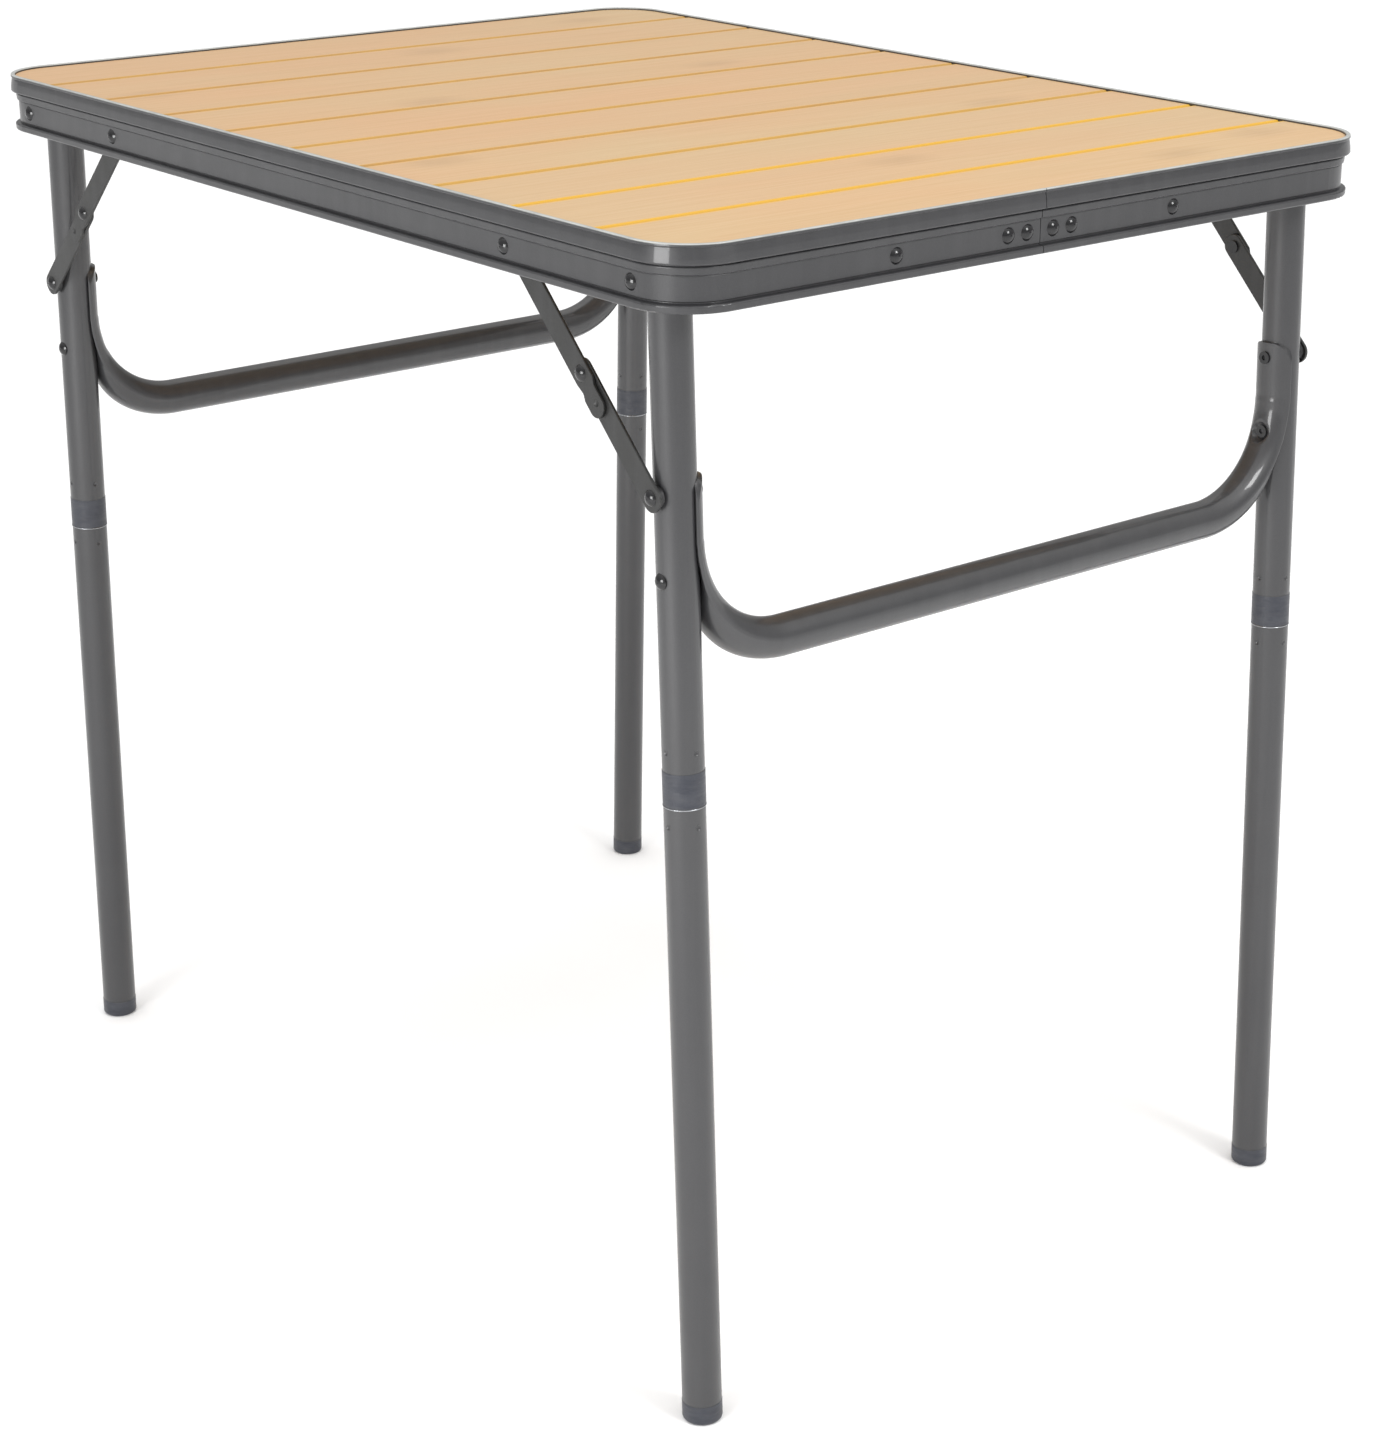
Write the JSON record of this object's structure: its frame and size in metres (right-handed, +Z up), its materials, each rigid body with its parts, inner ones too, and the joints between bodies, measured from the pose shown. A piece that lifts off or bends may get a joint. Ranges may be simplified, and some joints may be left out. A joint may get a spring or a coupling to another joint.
{
  "type": "folding camp side table",
  "caption": "Low-weight camp table: grooved wood-look board in a bent rail, two folding leg frames with toggle braces, and pull-off lower legs with foot caps.",
  "frame": {"origin": "on the floor under the middle of the table", "axes": "+X along the length, towards the end of the rail with the seam; +Y along the width, to the rear; +Z up"},
  "size_m": [0.7498, 0.5498, 0.712],
  "materials": {
    "rail_paint": "dark grey powder coat, satin",
    "leg_paint": "dark grey powder coat, satin",
    "link_paint": "dark grey paint, slightly glossy",
    "rivet_black": "gloss black",
    "collar_plastic": "dark blue-grey, moulded",
    "inner_plastic": "black, moulded",
    "board": "printed light wood with yellow-brown vee grooves, satin"
  },
  "bodies": {
    "top": {"frame_rail": "rail_paint", "top_panel": "board", "splice_insert": "link_paint", "splice_rivets": "rivet_black", "leg_pivot_rivets": "rivet_black", "leg_pivot_spacers": "inner_plastic", "brace_rail_rivets": "rivet_black", "brace_rail_spacers": "inner_plastic"},
    "leg_frame_right": {"cross_tube_right": "leg_paint", "leg_top_plugs_right": "inner_plastic", "cross_tube_rivets_right": "rivet_black", "brace_leg_rivets_right": "rivet_black", "brace_leg_spacers_right": "inner_plastic", "upper_leg_front_right": "leg_paint", "leg_socket_front_right": "inner_plastic", "leg_collar_front_right": "collar_plastic", "upper_leg_rear_right": "leg_paint", "leg_socket_rear_right": "inner_plastic", "leg_collar_rear_right": "collar_plastic"},
    "leg_frame_left": {"cross_tube_left": "leg_paint", "leg_top_plugs_left": "inner_plastic", "cross_tube_rivets_left": "rivet_black", "brace_leg_rivets_left": "rivet_black", "brace_leg_spacers_left": "inner_plastic", "upper_leg_front_left": "leg_paint", "leg_socket_front_left": "inner_plastic", "leg_collar_front_left": "collar_plastic", "upper_leg_rear_left": "leg_paint", "leg_socket_rear_left": "inner_plastic", "leg_collar_rear_left": "collar_plastic"},
    "lower_leg_front_right": {"lower_leg_front_right": "leg_paint", "leg_spigot_front_right": "inner_plastic", "foot_cap_front_right": "collar_plastic"},
    "brace_upper_front_right": {"brace_upper_link_front_right": "link_paint", "brace_middle_rivet_front_right": "rivet_black"},
    "brace_lower_front_right": {"brace_lower_link_front_right": "link_paint", "brace_middle_rivet_tail_front_right": "rivet_black"},
    "lower_leg_rear_right": {"lower_leg_rear_right": "leg_paint", "leg_spigot_rear_right": "inner_plastic", "foot_cap_rear_right": "collar_plastic"},
    "brace_upper_rear_right": {"brace_upper_link_rear_right": "link_paint", "brace_middle_rivet_rear_right": "rivet_black"},
    "brace_lower_rear_right": {"brace_lower_link_rear_right": "link_paint", "brace_middle_rivet_tail_rear_right": "rivet_black"},
    "lower_leg_front_left": {"lower_leg_front_left": "leg_paint", "leg_spigot_front_left": "inner_plastic", "foot_cap_front_left": "collar_plastic"},
    "brace_upper_front_left": {"brace_upper_link_front_left": "link_paint", "brace_middle_rivet_front_left": "rivet_black"},
    "brace_lower_front_left": {"brace_lower_link_front_left": "link_paint", "brace_middle_rivet_tail_front_left": "rivet_black"},
    "lower_leg_rear_left": {"lower_leg_rear_left": "leg_paint", "leg_spigot_rear_left": "inner_plastic", "foot_cap_rear_left": "collar_plastic"},
    "brace_upper_rear_left": {"brace_upper_link_rear_left": "link_paint", "brace_middle_rivet_rear_left": "rivet_black"},
    "brace_lower_rear_left": {"brace_lower_link_rear_left": "link_paint", "brace_middle_rivet_tail_rear_left": "rivet_black"}
  },
  "joints": [
    {"name": "fold_right", "type": "hinge", "parent": "top", "child": "leg_frame_right", "pos_m": [0.331, 0, 0.688], "axis": [0, 1, 0], "range_deg": [0, 70]},
    {"name": "fold_left", "type": "hinge", "parent": "top", "child": "leg_frame_left", "pos_m": [-0.331, 0, 0.688], "axis": [0, -1, 0], "range_deg": [0, 70]},
    {"name": "pull_lower_leg_front_right", "type": "slide", "parent": "leg_frame_right", "child": "lower_leg_front_right", "axis": [0.0349, 0, -0.9994], "range_m": [0, 0.4]},
    {"name": "brace_upper_turn_front_right", "type": "hinge", "parent": "top", "child": "brace_upper_front_right", "pos_m": [0.2175, -0.2634, 0.688], "axis": [0, 1, 0], "range_deg": [0, 108.8]},
    {"name": "brace_lower_turn_front_right", "type": "hinge", "parent": "leg_frame_right", "child": "brace_lower_front_right", "pos_m": [0.3351, -0.2611, 0.57057], "axis": [0, 1, 0], "range_deg": [-110.54, 0]},
    {"name": "pull_lower_leg_rear_right", "type": "slide", "parent": "leg_frame_right", "child": "lower_leg_rear_right", "axis": [0.0349, 0, -0.9994], "range_m": [0, 0.4]},
    {"name": "brace_upper_turn_rear_right", "type": "hinge", "parent": "top", "child": "brace_upper_rear_right", "pos_m": [0.2175, 0.2634, 0.688], "axis": [0, 1, 0], "range_deg": [0, 108.8]},
    {"name": "brace_lower_turn_rear_right", "type": "hinge", "parent": "leg_frame_right", "child": "brace_lower_rear_right", "pos_m": [0.3351, 0.2611, 0.57057], "axis": [0, 1, 0], "range_deg": [-110.54, 0]},
    {"name": "pull_lower_leg_front_left", "type": "slide", "parent": "leg_frame_left", "child": "lower_leg_front_left", "axis": [-0.0349, 0, -0.9994], "range_m": [0, 0.4]},
    {"name": "brace_upper_turn_front_left", "type": "hinge", "parent": "top", "child": "brace_upper_front_left", "pos_m": [-0.2175, -0.2634, 0.688], "axis": [0, -1, 0], "range_deg": [0, 108.8]},
    {"name": "brace_lower_turn_front_left", "type": "hinge", "parent": "leg_frame_left", "child": "brace_lower_front_left", "pos_m": [-0.3351, -0.2611, 0.57057], "axis": [0, -1, 0], "range_deg": [-110.54, 0]},
    {"name": "pull_lower_leg_rear_left", "type": "slide", "parent": "leg_frame_left", "child": "lower_leg_rear_left", "axis": [-0.0349, 0, -0.9994], "range_m": [0, 0.4]},
    {"name": "brace_upper_turn_rear_left", "type": "hinge", "parent": "top", "child": "brace_upper_rear_left", "pos_m": [-0.2175, 0.2634, 0.688], "axis": [0, -1, 0], "range_deg": [0, 108.8]},
    {"name": "brace_lower_turn_rear_left", "type": "hinge", "parent": "leg_frame_left", "child": "brace_lower_rear_left", "pos_m": [-0.3351, 0.2611, 0.57057], "axis": [0, -1, 0], "range_deg": [-110.54, 0]}
  ],
  "couplings": [
    {"joint": "brace_upper_turn_front_right", "follows": "fold_right", "ratio": 1.5536},
    {"joint": "brace_lower_turn_front_right", "follows": "fold_right", "ratio": -1.5784},
    {"joint": "brace_upper_turn_rear_right", "follows": "fold_right", "ratio": 1.5536},
    {"joint": "brace_lower_turn_rear_right", "follows": "fold_right", "ratio": -1.5784},
    {"joint": "brace_upper_turn_front_left", "follows": "fold_left", "ratio": 1.5536},
    {"joint": "brace_lower_turn_front_left", "follows": "fold_left", "ratio": -1.5784},
    {"joint": "brace_upper_turn_rear_left", "follows": "fold_left", "ratio": 1.5536},
    {"joint": "brace_lower_turn_rear_left", "follows": "fold_left", "ratio": -1.5784}
  ]
}
